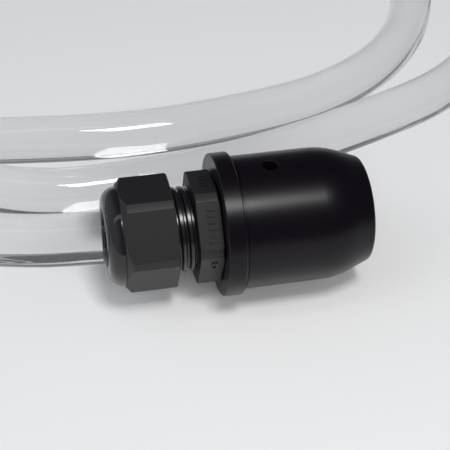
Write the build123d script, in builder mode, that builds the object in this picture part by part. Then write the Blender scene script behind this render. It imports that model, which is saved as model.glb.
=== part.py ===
"""Domed cable gland in a flanged end ferrule, closed on a clear light-guide cable.

Millimetres, +Z up. The gland's axis lies along +X, from the cable's side to the ferrule's nose, and
the whole stands on Z = 0 on its flange. Each sub-part is one node and one STEP file in parts/.
"""

import os
from collections import namedtuple
from math import cos, pi, radians, sin, tan

from build123d import *

os.makedirs("parts", exist_ok=True)

# Stations along the axis, from the cable's side to the nose. The held end of the cable meets its free
# run at exit_x, just inside the nut's lip.
mouth_x = -30.75
exit_x = -30.4
nut_hex_x = -27.0
nut_end_x = -15.15
body_hex_x = -10.5
body_hex_end_x = -5.15
flange_x = -4.85
barrel_x = -0.65
nose_x = 30.4

# Ferrule: a flange that stands on the table, a barrel and a blended nose.
flange_radius = 16.75
barrel_radius = 15.6
groove_offset = 0.25
groove_depth = 0.25
groove_width = 0.45
flange_edge = 0.2
nose_blend_x = 18.6
nose_blend_radius = 19.0
nose_taper = radians(21.5)
nose_edge = 0.9
axis_height = flange_radius

# Threads, modelled as true helices: each one's pitch, the radius and the width of its ridge at the
# root, and where its helix starts above the axis.
Thread = namedtuple("Thread", "pitch root_radius ridge_width x")
cap_thread = Thread(1.8, 9.15, 1.55, -22.95)
entry_thread = Thread(1.5, 9.05, 1.3, -7.0)
crest_radius = 9.9
thread_gap = 0.25
flank_gap = 0.14
flank_angle = radians(30)
ridge_sink = 0.08
lead_in = 0.7

# Dome nut: 24 mm across flats, with turned-off corners and a round shoulder.
nut_flats = 24.0
nut_corner_radius = 13.3
nut_turned = 50.0
edge_round = 0.35
gate_x = -19.0
gate_radius = 0.4
gate_height = 0.1
hex_bevel = 1.15
dome_radius = 11.5
dome_shoulder = 3.55
dome_step = 0.45
mouth_radius = 6.75
mouth_lip_radius = 8.2
mouth_lip_round = 0.9
mouth_throat = 1.6
nut_bore_radius = 9.3
nut_thread_length = 6.9
nut_cone_x = -24.9
end_bevel = 0.35

# Gland body: hexagon, seal bore and through hole.
body_flats = 23.6
body_corner_radius = 13.05
body_turned = 46.0
body_bevel = 0.15
spigot_x = -20.6
entry_end_x = 4.0
seal_bore_radius = 7.75
cage_bore_radius = 8.3
cage_bore_x = -17.3
seal_seat_x = -12.2
body_hole_radius = 6.5

# Raised marks on three facets of the body: plain bars, and a plain long ring.
mark_height = 0.3
mark_offset = 0.5
bar_count = 6
upper_bar_count = 4
bar_spacing = 1.45
bar_length = 1.9
bar_width = 0.55
ring_length = 2.6
ring_width = 1.4
ring_wall = 0.35
ring_shift = 2.4

# Clamp cage and sealing sleeve.
cage_ring_radius = 8.15
cage_collar_radius = 9.0
cage_finger_radius = 8.9
cage_inner_radius = 7.8
cage_ring_x = -17.45
cage_collar_x = -20.75
cage_finger_x = -22.0
cage_cone_x = -25.1
cage_tip_x = -27.9
cage_tip_radius = 7.1
cage_tip_inner_radius = 6.55
finger_count = 10
finger_slot = 0.9
finger_slot_reach = 5.0
finger_slot_length = 6.2
finger_lip = 0.6
sleeve_x = -25.0
sleeve_end_x = -12.4
sleeve_radius = 7.6
sleeve_taper = 0.8
sleeve_hole_radius = 6.2

# Entry gasket: a ring of round section in a recess of the ferrule's face.
gasket_radius = 10.75
gasket_section_radius = 0.6
recess_radius = 11.5
recess_depth = 1.0

# Set screw with a 2 mm hexagon socket, on a turned groove in the fibre sleeve. It leans back a little
# from upright.
screw_x = 7.75
screw_lean = radians(5)
screw_radius = 1.65
screw_hole_radius = 1.75
screw_hole_bevel = 0.2
screw_sunk = 1.6
screw_length = 5.4
socket_flats = 2.0
socket_depth = 2.2
screw_point = 0.6
screw_chamfer = 0.3

# Fibre sleeve and light-guide cable.
fibre_sleeve_x = 5.3
fibre_sleeve_end_x = 29.45
fibre_sleeve_radius = 8.5
core_hole_radius = 8.6
core_radius = 4.75
fibre_hole_radius = 4.85
jacket_inner_radius = 4.85
jacket_end_x = 4.3
core_end_x = 29.9
cable_radius = 6.15
sleeve_groove_depth = 0.3
sleeve_groove_width = 2.2
tapped_end_x = 5.0
face_gap = 0.05

# Each bend of the free cable takes this share of its shorter run.
run_share = 0.45
# The first of the two cable nodes holds this many bends.
turn_cut = 18

# The cable's route outside the gland, from the mouth to its bare end: down to the table, round
# behind the gland twice and back past it twice. The second turn lies on the first behind the view.
cable_route = [
    (exit_x, 0.0, 16.75),
    (-50.0, 2.1, 16.4),
    (-75.5, 12.5, 14.0),
    (-95.5, 33.0, 9.8),
    (-105.5, 60.0, 6.8),
    (-105.0, 90.0, 6.2),
    (-94.0, 121.0, 6.2),
    (-71.0, 147.0, 6.2),
    (-39.0, 164.0, 6.2),
    (-5.0, 173.0, 6.2),
    (29.0, 176.5, 6.2),
    (61.0, 172.0, 6.2),
    (85.5, 156.0, 6.2),
    (100.5, 131.5, 6.2),
    (103.5, 102.5, 6.2),
    (94.5, 75.0, 6.2),
    (74.0, 54.0, 6.2),
    (44.0, 42.5, 6.2),
    (14.0, 33.0, 6.2),
    (-16.0, 28.8, 6.2),
    (-46.0, 28.0, 6.2),
    (-73.0, 39.5, 9.6),
    (-93.0, 61.5, 14.8),
    (-101.0, 91.0, 19.0),
    (-96.0, 123.0, 19.0),
    (-75.0, 152.0, 19.0),
    (-44.0, 173.0, 19.0),
    (-10.0, 183.5, 19.0),
    (24.5, 186.0, 19.0),
    (52.0, 175.5, 19.2),
    (72.5, 154.5, 17.0),
    (82.0, 127.5, 11.0),
    (78.5, 98.5, 6.6),
    (64.0, 73.0, 6.2),
    (39.5, 56.5, 6.2),
    (8.0, 50.0, 6.2),
    (-25.0, 47.5, 6.2),
    (-58.0, 52.0, 6.2),
]

gland_axis = Axis((0, 0, axis_height), (1, 0, 0))
side = Plane(origin=(0, 0, axis_height), x_dir=(1, 0, 0), z_dir=(0, -1, 0))
female_major_radius = crest_radius + thread_gap


def across(x):
    """The plane across the axis at x, facing the nose, with its own X along +Y and its own Y up."""
    return Plane(origin=(x, 0, axis_height), x_dir=(0, 1, 0), z_dir=(1, 0, 0))


def turned(*points):
    """A solid turned about the axis from an outline of (x, radius) points."""
    with BuildPart() as solid:
        with BuildSketch(side):
            with BuildLine():
                Polyline(*points, close=True)
            make_face()
        revolve(axis=gland_axis)
    return solid.part


def hexagon(flats, corner_radius, turn):
    """The section of a hexagon whose corners are turned off to a radius, with softened edges."""
    with BuildSketch() as section:
        RegularPolygon(flats / 2, 6, major_radius=False, rotation=turn)
        Circle(corner_radius, mode=Mode.INTERSECT)
        fillet(section.vertices(), edge_round)
    return section.sketch


def rod(start_x, end_x, radius):
    """A plain cylinder on the axis."""
    return turned((start_x, 0), (start_x, radius), (end_x, radius), (end_x, 0))


def pipe(start_x, end_x, inner_radius, outer_radius):
    """A plain tube on the axis."""
    return turned(
        (start_x, inner_radius),
        (start_x, outer_radius),
        (end_x, outer_radius),
        (end_x, inner_radius),
    )


def ridge(thread, base_radius, tip_radius, base_width, x, end_x):
    """One thread ridge: a trapezoid swept along a right-hand helix that starts above the axis at x."""
    tip_width = base_width - 2 * abs(tip_radius - base_radius) * tan(flank_angle)
    foot_radius = base_radius - ridge_sink if tip_radius > base_radius else base_radius + ridge_sink
    middle = (base_radius + tip_radius) / 2
    reach = end_x + thread.pitch - x
    with BuildPart() as solid:
        with BuildLine():
            path = Helix(thread.pitch, reach, middle, center=(x, 0, axis_height), direction=(1, 0, 0))
        with BuildSketch(Plane(origin=path @ 0, x_dir=(0, 0, 1), z_dir=path % 0)):
            with BuildLine():
                Polyline(
                    (foot_radius - middle, -base_width / 2),
                    (tip_radius - middle, -tip_width / 2),
                    (tip_radius - middle, tip_width / 2),
                    (foot_radius - middle, base_width / 2),
                    close=True,
                )
            make_face()
        sweep(path=path, is_frenet=True)
    return solid.part


def male_ridge(thread, end_x):
    """The ridge of a male thread."""
    return ridge(thread, thread.root_radius, crest_radius, thread.ridge_width, thread.x, end_x)


def minor_radius(thread):
    """The radius of the hole through the female thread that goes with this one."""
    return thread.root_radius + thread_gap


def thread_space(thread, start_x, end_x):
    """The space inside the female thread, whose ridge runs midway between the turns of the male one."""
    groove_width = thread.pitch - thread.ridge_width
    full_depth = female_major_radius - thread.root_radius
    ridge_width = groove_width + 2 * full_depth * tan(flank_angle) - 2 * flank_gap / cos(flank_angle)
    female_ridge = ridge(
        thread, female_major_radius, minor_radius(thread), ridge_width, thread.x - thread.pitch / 2, end_x
    )
    with BuildPart() as space:
        add(rod(start_x, end_x, female_major_radius))
        add(female_ridge, mode=Mode.SUBTRACT)
    return space.part


def finish(part, label):
    """Names a part and writes its STEP file."""
    part.label = label
    export_step(part, f"parts/{label}.step")


# Dome nut. The hexagon is bevelled towards the dome, and the dome steps down from it.
shoulder_x = mouth_x + dome_shoulder
nut_thread_x = nut_end_x - nut_thread_length
nut_envelope = turned(
    (nut_hex_x, 0),
    (nut_hex_x, dome_radius + dome_step),
    (nut_hex_x + hex_bevel, nut_corner_radius + face_gap),
    (nut_end_x - end_bevel, nut_corner_radius + face_gap),
    (nut_end_x, nut_corner_radius + face_gap - end_bevel),
    (nut_end_x, 0),
)
nut_hollow = turned(
    (mouth_x - 1, 0),
    (mouth_x - 1, mouth_radius),
    (mouth_x + mouth_throat, mouth_radius),
    (nut_cone_x, nut_bore_radius),
    (nut_thread_x + face_gap, nut_bore_radius),
    (nut_thread_x + face_gap, 0),
)
nut_mouth = turned(
    (nut_end_x - lead_in, 0),
    (nut_end_x - lead_in, minor_radius(cap_thread)),
    (nut_end_x + face_gap, female_major_radius),
    (nut_end_x + face_gap, 0),
)
nut_thread_space = thread_space(cap_thread, nut_thread_x, nut_end_x + lead_in)
lip_x = mouth_x + mouth_lip_round
lip_radius = mouth_radius + mouth_lip_round
gate_angle = radians(nut_turned + 60)
gate_outward = Vector(0, cos(gate_angle), sin(gate_angle))
gate_plane = Plane(
    origin=Vector(gate_x, 0, axis_height) + gate_outward * (nut_corner_radius + gate_height),
    x_dir=(1, 0, 0),
    z_dir=-gate_outward,
)
with BuildPart() as dome_nut:
    with BuildSketch(across(nut_hex_x)):
        add(hexagon(nut_flats, nut_corner_radius, nut_turned))
    extrude(amount=nut_end_x - nut_hex_x)
    add(nut_envelope, mode=Mode.INTERSECT)
    with BuildSketch(side):
        with BuildLine():
            Polyline((lip_x, mouth_radius), (lip_x, 0), (nut_end_x, 0))
            Polyline((nut_end_x, 0), (nut_end_x, dome_radius), (shoulder_x, dome_radius))
            TangentArc((shoulder_x, dome_radius), (mouth_x, mouth_lip_radius), tangent=(-1, 0))
            Line((mouth_x, mouth_lip_radius), (mouth_x, lip_radius))
            TangentArc((mouth_x, lip_radius), (lip_x, mouth_radius), tangent=(0, -1))
        make_face()
    revolve(axis=gland_axis)
    with BuildSketch(gate_plane):
        Circle(gate_radius)
    extrude(amount=gate_height * 3)
    add(nut_hollow, mode=Mode.SUBTRACT)
    add(nut_thread_space, mode=Mode.SUBTRACT)
    add(nut_mouth, mode=Mode.SUBTRACT)
finish(dome_nut.part, "dome_nut")

# Gland body: a male thread on each side of the hexagon, and a stepped hole right through.
body_envelope = turned(
    (body_hex_x, 0),
    (body_hex_x, body_corner_radius + face_gap - body_bevel),
    (body_hex_x + body_bevel, body_corner_radius + face_gap),
    (body_hex_end_x - end_bevel, body_corner_radius + face_gap),
    (body_hex_end_x, body_corner_radius + face_gap - end_bevel),
    (body_hex_end_x, 0),
)
male_envelope = turned(
    (spigot_x, 0),
    (spigot_x, cap_thread.root_radius - thread_gap),
    (spigot_x + cap_thread.pitch, crest_radius + thread_gap),
    (entry_end_x - entry_thread.pitch, crest_radius + thread_gap),
    (entry_end_x, entry_thread.root_radius - thread_gap),
    (entry_end_x, 0),
)
body_hole = turned(
    (spigot_x - 1, 0),
    (spigot_x - 1, cage_bore_radius),
    (cage_bore_x, cage_bore_radius),
    (cage_bore_x, seal_bore_radius),
    (seal_seat_x, seal_bore_radius),
    (seal_seat_x + seal_bore_radius - body_hole_radius, body_hole_radius),
    (entry_end_x + 1, body_hole_radius),
    (entry_end_x + 1, 0),
)
with BuildPart() as body_hexagon:
    with BuildSketch(across(body_hex_x)):
        add(hexagon(body_flats, body_corner_radius, body_turned))
    extrude(amount=body_hex_end_x - body_hex_x)
    add(body_envelope, mode=Mode.INTERSECT)

# The bars lie on the two upper facets that face the front, and the ring on the one below them.
mark_x = (body_hex_x + body_hex_end_x) / 2 + mark_offset
upper_facet = radians(body_turned + 30)
bar_facet = radians(body_turned + 90)
ring_facet = radians(body_turned + 150)


def facet(angle):
    """The plane of a body facet, with its own X along the axis, at mark_x."""
    outward = Vector(0, cos(angle), sin(angle))
    return Plane(
        origin=Vector(mark_x, 0, axis_height) + outward * (body_flats / 2), x_dir=(1, 0, 0), z_dir=outward
    )


with BuildPart() as gland_body:
    add(rod(spigot_x - 1, body_hex_end_x, cap_thread.root_radius))
    add(rod(body_hex_x, entry_end_x + 1, entry_thread.root_radius))
    add(male_ridge(cap_thread, body_hex_x))
    add(male_ridge(entry_thread, entry_end_x))
    add(male_envelope, mode=Mode.INTERSECT)
    add(body_hexagon.part)
    with BuildSketch(facet(upper_facet)):
        with GridLocations(0, bar_spacing, 1, upper_bar_count):
            Rectangle(bar_length, bar_width)
    extrude(amount=mark_height)
    with BuildSketch(facet(bar_facet)):
        with GridLocations(0, bar_spacing, 1, bar_count):
            Rectangle(bar_length, bar_width)
    extrude(amount=mark_height)
    with BuildSketch(facet(ring_facet)):
        with Locations((0, ring_shift)):
            SlotOverall(ring_length, ring_width, rotation=90)
            SlotOverall(
                ring_length - 2 * ring_wall, ring_width - 2 * ring_wall, rotation=90, mode=Mode.SUBTRACT
            )
    extrude(amount=mark_height)
    add(body_hole, mode=Mode.SUBTRACT)
finish(gland_body.part, "gland_body")

# Clamp cage: a ring in the body's mouth and a crown of fingers that the dome's cone closes.
with BuildPart() as clamp_cage:
    add(turned(
        (cage_ring_x, cage_inner_radius),
        (cage_ring_x, cage_ring_radius),
        (cage_collar_x, cage_ring_radius),
        (cage_collar_x, cage_collar_radius),
        (cage_finger_x, cage_collar_radius),
        (cage_finger_x, cage_finger_radius),
        (cage_cone_x, cage_finger_radius),
        (cage_tip_x, cage_tip_radius),
        (cage_tip_x, cage_tip_inner_radius),
        (cage_tip_x + finger_lip, cage_tip_inner_radius),
        (cage_cone_x - finger_lip / 2, cage_inner_radius),
    ))
    with BuildSketch(across(cage_tip_x - 1)):
        with PolarLocations(cage_inner_radius, finger_count):
            Rectangle(finger_slot_reach, finger_slot)
    extrude(amount=finger_slot_length, mode=Mode.SUBTRACT)
finish(clamp_cage.part, "clamp_cage")

# Sealing sleeve, squeezed between the cage's fingers and the cable.
with BuildPart() as sealing_sleeve:
    add(turned(
        (sleeve_x, sleeve_hole_radius),
        (sleeve_x, sleeve_radius),
        (sleeve_end_x - sleeve_taper, sleeve_radius),
        (sleeve_end_x, sleeve_radius - sleeve_taper),
        (sleeve_end_x, sleeve_hole_radius),
    ))
finish(sealing_sleeve.part, "sealing_sleeve")

# Entry gasket, between the body's hexagon and the bottom of the ferrule's recess.
recess_x = flange_x + recess_depth
with BuildPart() as entry_gasket:
    with BuildSketch(side):
        with Locations(((body_hex_end_x + recess_x) / 2, gasket_radius)):
            Circle(gasket_section_radius)
    revolve(axis=gland_axis)
finish(entry_gasket.part, "entry_gasket")

# Ferrule: flange, barrel and blended nose, tapped for the gland and drilled for the set screw.
blend_end_x = nose_blend_x + nose_blend_radius * sin(nose_taper)
blend_end_radius = barrel_radius - nose_blend_radius * (1 - cos(nose_taper))
nose_radius = blend_end_radius - (nose_x - blend_end_x) * tan(nose_taper)
groove_x = barrel_x + groove_offset
ferrule_thread_space = thread_space(entry_thread, flange_x - lead_in, tapped_end_x)
ferrule_mouth = turned(
    (flange_x - face_gap, 0),
    (flange_x - face_gap, recess_radius),
    (recess_x, recess_radius),
    (recess_x, female_major_radius),
    (recess_x + lead_in, minor_radius(entry_thread)),
    (recess_x + lead_in, 0),
)
core_hole = turned(
    (tapped_end_x - face_gap, 0),
    (tapped_end_x - face_gap, core_hole_radius),
    (nose_x - lead_in, core_hole_radius),
    (nose_x, core_hole_radius + lead_in),
    (nose_x + 1, core_hole_radius + lead_in),
    (nose_x + 1, 0),
)
screw_direction = Vector(0, sin(screw_lean), cos(screw_lean))
screw_origin = Vector(screw_x, 0, axis_height)
screw_seat = Plane(origin=screw_origin + screw_direction * barrel_radius, z_dir=screw_direction)
with BuildPart() as ferrule:
    with BuildSketch(side):
        with BuildLine():
            Polyline(
                (nose_x, nose_radius),
                (nose_x, 0),
                (flange_x, 0),
                (flange_x, flange_radius - flange_edge),
                (flange_x + flange_edge, flange_radius),
                (barrel_x - flange_edge, flange_radius),
                (barrel_x, flange_radius - flange_edge),
                (barrel_x, barrel_radius),
                (groove_x, barrel_radius),
                (groove_x, barrel_radius - groove_depth),
                (groove_x + groove_width, barrel_radius - groove_depth),
                (groove_x + groove_width, barrel_radius),
                (nose_blend_x, barrel_radius),
            )
            TangentArc((nose_blend_x, barrel_radius), (blend_end_x, blend_end_radius), tangent=(1, 0))
            Line((blend_end_x, blend_end_radius), (nose_x, nose_radius))
        make_face()
    revolve(axis=gland_axis)
    fillet(ferrule.edges().group_by(Axis.X)[-1], nose_edge)
    add(ferrule_thread_space, mode=Mode.SUBTRACT)
    add(ferrule_mouth, mode=Mode.SUBTRACT)
    add(core_hole, mode=Mode.SUBTRACT)
    with Locations(screw_seat):
        CounterSinkHole(screw_hole_radius, screw_hole_radius + screw_hole_bevel, barrel_radius - core_radius)
finish(ferrule.part, "ferrule")

# Set screw with a hexagon socket, sunk below the barrel's surface.
with BuildPart() as set_screw:
    with BuildSketch(screw_seat.offset(-screw_sunk)):
        Circle(screw_radius)
    extrude(amount=-screw_length)
    chamfer(set_screw.edges().group_by(Axis.Z)[0], screw_point)
    chamfer(set_screw.edges().filter_by(GeomType.CIRCLE).sort_by(Axis.Z)[-1], screw_chamfer)
    with BuildSketch(screw_seat.offset(-screw_sunk)):
        RegularPolygon(socket_flats / 2, 6, major_radius=False)
    extrude(amount=-socket_depth, mode=Mode.SUBTRACT)
finish(set_screw.part, "set_screw")

# Fibre sleeve: the metal tube that the light guide's core is fixed in, with a groove for the screw.
with BuildPart() as fibre_sleeve:
    add(turned(
        (fibre_sleeve_x, fibre_hole_radius),
        (fibre_sleeve_x, fibre_sleeve_radius),
        (screw_x - sleeve_groove_width / 2, fibre_sleeve_radius),
        (screw_x, fibre_sleeve_radius - sleeve_groove_depth),
        (screw_x + sleeve_groove_width / 2, fibre_sleeve_radius),
        (fibre_sleeve_end_x, fibre_sleeve_radius),
        (fibre_sleeve_end_x, fibre_hole_radius),
    ))
finish(fibre_sleeve.part, "fibre_sleeve")

# The light guide's core runs to the nose, and its jacket is stripped inside the ferrule.
with BuildPart() as guide_core:
    add(rod(exit_x, core_end_x, core_radius))
finish(guide_core.part, "guide_core")

with BuildPart() as guide_jacket:
    add(pipe(exit_x, jacket_end_x, jacket_inner_radius, cable_radius))
finish(guide_jacket.part, "guide_jacket")

# The free cable: straight runs joined by arcs as large as the two runs allow.
corners = [Vector(*point) for point in cable_route]
runs = [after - before for before, after in zip(corners, corners[1:])]
bend_radii = []
for before, after in zip(runs, runs[1:]):
    shorter = min(before.length, after.length)
    bend_radii.append(run_share * shorter / tan(radians(before.get_angle(after) / 2)))
print("bend radii", [round(radius, 1) for radius in bend_radii])

# The tube starts inside the mouth and is cut off square there, so that it meets the held end.
run_in = corners[0] - runs[0].normalized() * mouth_throat
with BuildLine() as route:
    FilletPolyline(run_in, *corners[1:], radius=bend_radii)
route_edges = route.wire().order_edges()
cut = turn_cut * 2
cable_turns = {"cable_turn_1": route_edges[:cut], "cable_turn_2": route_edges[cut:]}
for label, stretch in cable_turns.items():
    centre_line = Wire(stretch)
    with BuildPart() as cable_turn:
        with BuildSketch(Plane(origin=centre_line @ 0, z_dir=centre_line % 0)):
            Circle(cable_radius)
        sweep(path=centre_line)
        if label == "cable_turn_1":
            add(rod(exit_x, exit_x + 2 * mouth_throat, mouth_lip_radius), mode=Mode.SUBTRACT)
    finish(cable_turn.part, label)
    print(label, "length", round(centre_line.length, 1))
    volume_ratio = cable_turn.part.volume / (pi * cable_radius**2 * centre_line.length)
    print("volume over section times length", round(volume_ratio, 4))
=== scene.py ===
"""The looks of the cable gland, in metres.

A clear light-guide cable leaves a black nylon gland on a black turned ferrule, on a pale table.
"""

from math import cos, radians, sin

import bpy
from mathutils import Matrix, Vector


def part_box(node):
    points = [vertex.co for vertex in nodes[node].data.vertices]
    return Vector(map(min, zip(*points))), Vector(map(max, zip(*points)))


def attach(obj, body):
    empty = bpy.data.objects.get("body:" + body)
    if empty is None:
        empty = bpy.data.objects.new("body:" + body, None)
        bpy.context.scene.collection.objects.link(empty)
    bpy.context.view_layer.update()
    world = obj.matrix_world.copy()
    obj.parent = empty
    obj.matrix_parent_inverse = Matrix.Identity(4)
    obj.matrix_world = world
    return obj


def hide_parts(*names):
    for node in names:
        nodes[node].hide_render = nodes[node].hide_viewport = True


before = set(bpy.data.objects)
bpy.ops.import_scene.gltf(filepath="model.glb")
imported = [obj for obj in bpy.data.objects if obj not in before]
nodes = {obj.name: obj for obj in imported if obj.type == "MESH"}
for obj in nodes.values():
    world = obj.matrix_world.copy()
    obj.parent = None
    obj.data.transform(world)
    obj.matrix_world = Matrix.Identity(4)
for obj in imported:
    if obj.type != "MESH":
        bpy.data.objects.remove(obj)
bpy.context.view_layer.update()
scene = bpy.context.scene

# ---------------------------------------------------------------- camera

CAMERA_PLACE = Vector((-0.050596, -0.196227, 0.210338))
CAMERA_ELEVATION = radians(44)
CAMERA_AZIMUTH = radians(14.045)
CAMERA_ROLL = radians(-3.0957)
LENS = 96
SENSOR_WIDTH = 36
NEAREST_SEEN = 0.005
FRAME_SHIFT = 0.0077778

forward = Vector(
    (
        cos(CAMERA_ELEVATION) * sin(CAMERA_AZIMUTH),
        cos(CAMERA_ELEVATION) * cos(CAMERA_AZIMUTH),
        -sin(CAMERA_ELEVATION),
    )
)
level_right = forward.cross(Vector((0, 0, 1))).normalized()
level_up = level_right.cross(forward)
right = level_right * cos(CAMERA_ROLL) - level_up * sin(CAMERA_ROLL)
up = level_right * sin(CAMERA_ROLL) + level_up * cos(CAMERA_ROLL)

camera_data = bpy.data.cameras.new("camera")
camera_data.sensor_width = SENSOR_WIDTH
camera_data.lens = LENS
camera_data.shift_x = -FRAME_SHIFT
camera_data.shift_y = FRAME_SHIFT
camera_data.clip_start = NEAREST_SEEN
camera = bpy.data.objects.new("camera", camera_data)
scene.collection.objects.link(camera)
camera.matrix_world = Matrix.Translation(CAMERA_PLACE) @ Matrix((right, up, -forward)).transposed().to_4x4()
scene.camera = camera


# ---------------------------------------------------------------- material helpers


def material(name, **inputs):
    """A Principled material with these socket values, and its node tree and shader."""
    made = bpy.data.materials.new(name)
    made.use_nodes = True
    tree = made.node_tree
    shader = tree.nodes["Principled BSDF"]
    for socket, value in inputs.items():
        shader.inputs[socket.replace("_", " ")].default_value = value
    return made, tree, shader


def add_node(tree, kind, **settings):
    """A node with these attributes or socket values."""
    made = tree.nodes.new(kind)
    for name, value in settings.items():
        if hasattr(made, name):
            setattr(made, name, value)
        else:
            made.inputs[name.replace("_", " ")].default_value = value
    return made


def noise(tree, scale, detail):
    """A noise over the object's own coordinates, and its Fac output."""
    place = tree.nodes.new("ShaderNodeTexCoord")
    texture = add_node(tree, "ShaderNodeTexNoise", Scale=scale, Detail=detail)
    tree.links.new(place.outputs["Object"], texture.inputs["Vector"])
    return texture.outputs["Fac"]


def spread(tree, value, low, high):
    """A value from 0 to 1 brought between low and high."""
    made = tree.nodes.new("ShaderNodeMapRange")
    made.inputs["To Min"].default_value = low
    made.inputs["To Max"].default_value = high
    tree.links.new(value, made.inputs["Value"])
    return made.outputs["Result"]


def bump(tree, shader, height, distance):
    """A bump of this height, in metres, on the shader."""
    made = tree.nodes.new("ShaderNodeBump")
    made.inputs["Distance"].default_value = distance
    made.inputs["Strength"].default_value = 1
    tree.links.new(height, made.inputs["Height"])
    tree.links.new(made.outputs["Normal"], shader.inputs["Normal"])


def dress(node, look):
    """Gives a CAD node this material in place of its own."""
    mesh = nodes[node].data
    mesh.materials.clear()
    mesh.materials.append(look)


# ---------------------------------------------------------------- black parts


GRAIN_DETAIL = 4
UNEVEN_SCALE = 90
UNEVEN_DETAIL = 3
SMOOTHER = 0.03
ROUGHER = 0.04


def black_plastic(name, colour, rough, grain_scale, grain_depth, sheen=0.5):
    """Black moulded plastic with a fine grain and a slightly uneven gloss."""
    made, tree, shader = material(name, Base_Color=(*colour, 1), IOR=1.5, Specular_IOR_Level=sheen)
    grain = noise(tree, grain_scale, GRAIN_DETAIL)
    uneven = spread(tree, noise(tree, UNEVEN_SCALE, UNEVEN_DETAIL), rough - SMOOTHER, rough + ROUGHER)
    tree.links.new(uneven, shader.inputs["Roughness"])
    bump(tree, shader, grain, grain_depth)
    return made


DOME_END = -0.0272
THREAD_MIDDLE = -0.01285
THREAD_HALF = 0.0023
DOME_ROUGH = 0.11
THREAD_ROUGH = 0.26


def polish_zones(made):
    """The dome and the thread come out of the mould glossier than the facets do."""
    tree = made.node_tree
    shader = tree.nodes["Principled BSDF"]
    facets = shader.inputs["Roughness"].links[0].from_socket
    place = tree.nodes.new("ShaderNodeTexCoord")
    apart = tree.nodes.new("ShaderNodeSeparateXYZ")
    tree.links.new(place.outputs["Object"], apart.inputs[0])
    rough = facets
    for kind, settings, value in (
        ("LESS_THAN", (DOME_END,), DOME_ROUGH),
        ("COMPARE", (THREAD_MIDDLE, THREAD_HALF), THREAD_ROUGH),
    ):
        zone = add_node(tree, "ShaderNodeMath", operation=kind)
        tree.links.new(apart.outputs["X"], zone.inputs[0])
        for socket, setting in zip(list(zone.inputs)[1:], settings):
            socket.default_value = setting
        blend = tree.nodes.new("ShaderNodeMix")
        tree.links.new(zone.outputs[0], blend.inputs["Factor"])
        tree.links.new(rough, blend.inputs["A"])
        blend.inputs["B"].default_value = value
        rough = blend.outputs["Result"]
    tree.links.new(rough, shader.inputs["Roughness"])


nylon = black_plastic("black_nylon", (0.008, 0.0065, 0.0075), 0.5, 2600, 0.00001, sheen=0.6)
polish_zones(nylon)
rubber = black_plastic("seal_rubber", (0.012, 0.012, 0.013), 0.6, 1800, 0.00003)
anodised = black_plastic("black_anodised", (0.0035, 0.002, 0.004), 0.3, 4000, 0.000004, sheen=0.24)
steel, _, _ = material("blackened_steel", Base_Color=(0.03, 0.03, 0.032, 1), Metallic=1.0, Roughness=0.3)
aluminium, _, _ = material("plain_aluminium", Base_Color=(0.72, 0.72, 0.73, 1), Metallic=1.0, Roughness=0.3)

for node in ("dome_nut", "gland_body", "clamp_cage"):
    dress(node, nylon)
for node in ("sealing_sleeve", "entry_gasket"):
    dress(node, rubber)
dress("ferrule", anodised)
dress("set_screw", steel)
dress("fibre_sleeve", aluminium)

# ---------------------------------------------------------------- clear cable

CABLE_RADIUS = 0.00615
CORE_RADIUS = 0.00475
CURVE_STEPS = 16
ROUND_STEPS = 14
MOUTH = (-0.0304, 0.0, 0.01675)

clear, _, _ = material(
    "clear_jacket",
    Base_Color=(0.87, 0.875, 0.88, 1),
    Roughness=0.03,
    IOR=1.45,
    Transmission_Weight=1.0,
)

# The held end inside the gland, then the free cable's route.
held_end = [(-0.006, 0.0, 0.01675), (-0.022, 0.0, 0.01675)]
cable_route = [
    (-0.0304, 0.0, 0.01675),
    (-0.05, 0.0021, 0.0164),
    (-0.0755, 0.0125, 0.014),
    (-0.0955, 0.033, 0.0098),
    (-0.1055, 0.06, 0.0068),
    (-0.105, 0.09, 0.0062),
    (-0.094, 0.121, 0.0062),
    (-0.071, 0.147, 0.0062),
    (-0.039, 0.164, 0.0062),
    (-0.005, 0.173, 0.0062),
    (0.029, 0.1765, 0.0062),
    (0.061, 0.172, 0.0062),
    (0.0855, 0.156, 0.0062),
    (0.1005, 0.1315, 0.0062),
    (0.1035, 0.1025, 0.0062),
    (0.0945, 0.075, 0.0062),
    (0.074, 0.054, 0.0062),
    (0.044, 0.0425, 0.0062),
    (0.014, 0.033, 0.0062),
    (-0.016, 0.0288, 0.0062),
    (-0.046, 0.028, 0.0062),
    (-0.073, 0.0395, 0.0096),
    (-0.093, 0.0615, 0.0148),
    (-0.101, 0.091, 0.019),
    (-0.096, 0.123, 0.019),
    (-0.075, 0.152, 0.019),
    (-0.044, 0.173, 0.019),
    (-0.01, 0.1835, 0.019),
    (0.0245, 0.186, 0.019),
    (0.052, 0.1755, 0.0192),
    (0.0725, 0.1545, 0.017),
    (0.082, 0.1275, 0.011),
    (0.0785, 0.0985, 0.0066),
    (0.064, 0.073, 0.0062),
    (0.0395, 0.0565, 0.0062),
    (0.008, 0.05, 0.0062),
    (-0.025, 0.0475, 0.0062),
    (-0.058, 0.052, 0.0062),
]


def clear_cable():
    """The cable as one smooth curve, from inside the gland to its bare end."""
    curve = bpy.data.curves.new("cable", "CURVE")
    curve.dimensions = "3D"
    points = held_end + cable_route
    spline = curve.splines.new("NURBS")
    spline.points.add(len(points) - 1)
    for point, place in zip(spline.points, points):
        point.co = (*place, 1)
    spline.order_u = 3
    spline.use_endpoint_u = True
    spline.resolution_u = CURVE_STEPS
    curve.bevel_depth = CABLE_RADIUS
    curve.bevel_resolution = ROUND_STEPS
    curve.use_fill_caps = True
    curve.materials.append(clear)
    made = bpy.data.objects.new("cable", curve)
    scene.collection.objects.link(made)
    return made


cable = clear_cable()
cable.visible_shadow = False
cable.visible_diffuse = False
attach(cable, "housing")
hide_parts("guide_jacket", "cable_turn_1", "cable_turn_2")

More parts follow.
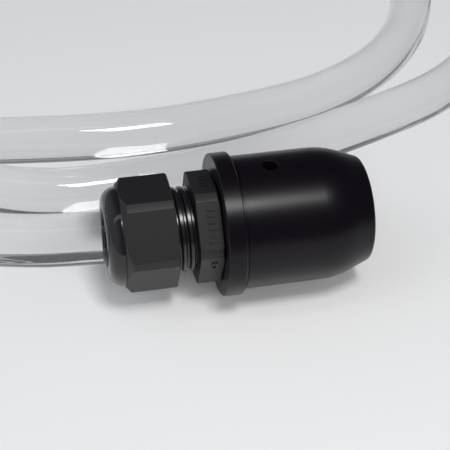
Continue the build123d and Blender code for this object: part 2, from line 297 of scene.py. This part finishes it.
core_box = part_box("guide_core")
CORE_START = -0.004
CORE_SIDES = 64
core_length = core_box[1].x - CORE_START
bpy.ops.mesh.primitive_cylinder_add(
    vertices=CORE_SIDES,
    radius=CORE_RADIUS,
    depth=core_length,
    location=(CORE_START + core_length / 2, 0, MOUTH[2]),
    rotation=(0, radians(90), 0),
)
core = bpy.context.object
core.name = "core_end"
core.data.materials.append(clear)
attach(core, "housing")
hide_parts("guide_core")

# ---------------------------------------------------------------- table and light

TABLE_SIZE = 6

table_look, _, _ = material("table", Base_Color=(0.86, 0.85, 0.845, 1), Roughness=0.45)
bpy.ops.mesh.primitive_plane_add(size=TABLE_SIZE, location=(0, 0, 0))
table = bpy.context.object
table.name = "table"
table.data.materials.append(table_look)


def soft_box(name, place, target, size, power):
    """A rectangular light that faces target."""
    light = bpy.data.lights.new(name, "AREA")
    light.shape = "RECTANGLE"
    light.size, light.size_y = size
    light.energy = power
    made = bpy.data.objects.new(name, light)
    scene.collection.objects.link(made)
    made.location = place
    made.rotation_euler = (Vector(target) - Vector(place)).to_track_quat("-Z", "Y").to_euler()
    return made


soft_box("top_light", (0.1, -0.33, 1.0), (0, 0, 0), (0.24, 0.24), 5.0)
soft_box("ceiling_strip", (-0.6, -0.02, 1.1), (-0.6, -0.02, 0), (1.6, 0.16), 1.0)

for name, place, size, power in (
    ("front_fill", (0.05, -0.5, 0.4), (0.6, 0.3), 1.8),
    ("left_fill", (-0.7, -0.15, 0.6), (0.5, 0.5), 0.7),
    ("right_fill", (0.8, -0.15, 0.6), (0.5, 0.5), 0.6),
):
    fill = soft_box(name, place, (0, 0, 0), size, power)
    fill.visible_glossy = False
    fill.visible_transmission = False

# The world glows from ROOM_GLOW to SIDE_GLOW on its left, across SIDE_EDGE, measured from MIDDLE.
SIDE_EDGE = (0.2, 1.0)
SIDE_GLOW = 0.5
ROOM_GLOW = 0.08
MIDDLE = 0.17
ROOM_COLOUR = (0.8, 0.9, 1.0, 1)
BACKDROP = (0.80, 0.81, 0.83, 1)


def studio_world():
    """A dim room with a soft bright left side. The camera itself sees a plain pale backdrop."""
    made = bpy.data.worlds.new("studio")
    made.use_nodes = True
    tree = made.node_tree
    room = tree.nodes["Background"]
    room.inputs["Color"].default_value = ROOM_COLOUR
    place = tree.nodes.new("ShaderNodeTexCoord")
    apart = tree.nodes.new("ShaderNodeSeparateXYZ")
    tree.links.new(place.outputs["Generated"], apart.inputs[0])
    offset = add_node(tree, "ShaderNodeMath", operation="SUBTRACT")
    offset.inputs[1].default_value = MIDDLE
    tree.links.new(apart.outputs["X"], offset.inputs[0])
    sideways = add_node(tree, "ShaderNodeMath", operation="MULTIPLY")
    sideways.inputs[1].default_value = -1
    tree.links.new(offset.outputs[0], sideways.inputs[0])
    edge = tree.nodes.new("ShaderNodeMapRange")
    edge.interpolation_type = "SMOOTHSTEP"
    edge.inputs["From Min"].default_value, edge.inputs["From Max"].default_value = SIDE_EDGE
    edge.inputs["To Min"].default_value = ROOM_GLOW
    edge.inputs["To Max"].default_value = SIDE_GLOW
    tree.links.new(sideways.outputs[0], edge.inputs["Value"])
    tree.links.new(edge.outputs["Result"], room.inputs["Strength"])
    backdrop = add_node(tree, "ShaderNodeBackground", Color=BACKDROP)
    seen = tree.nodes.new("ShaderNodeLightPath")
    either = tree.nodes.new("ShaderNodeMixShader")
    tree.links.new(seen.outputs["Is Camera Ray"], either.inputs[0])
    tree.links.new(room.outputs[0], either.inputs[1])
    tree.links.new(backdrop.outputs[0], either.inputs[2])
    tree.links.new(either.outputs[0], tree.nodes["World Output"].inputs["Surface"])
    scene.world = made


studio_world()

scene.view_settings.view_transform = "Standard"
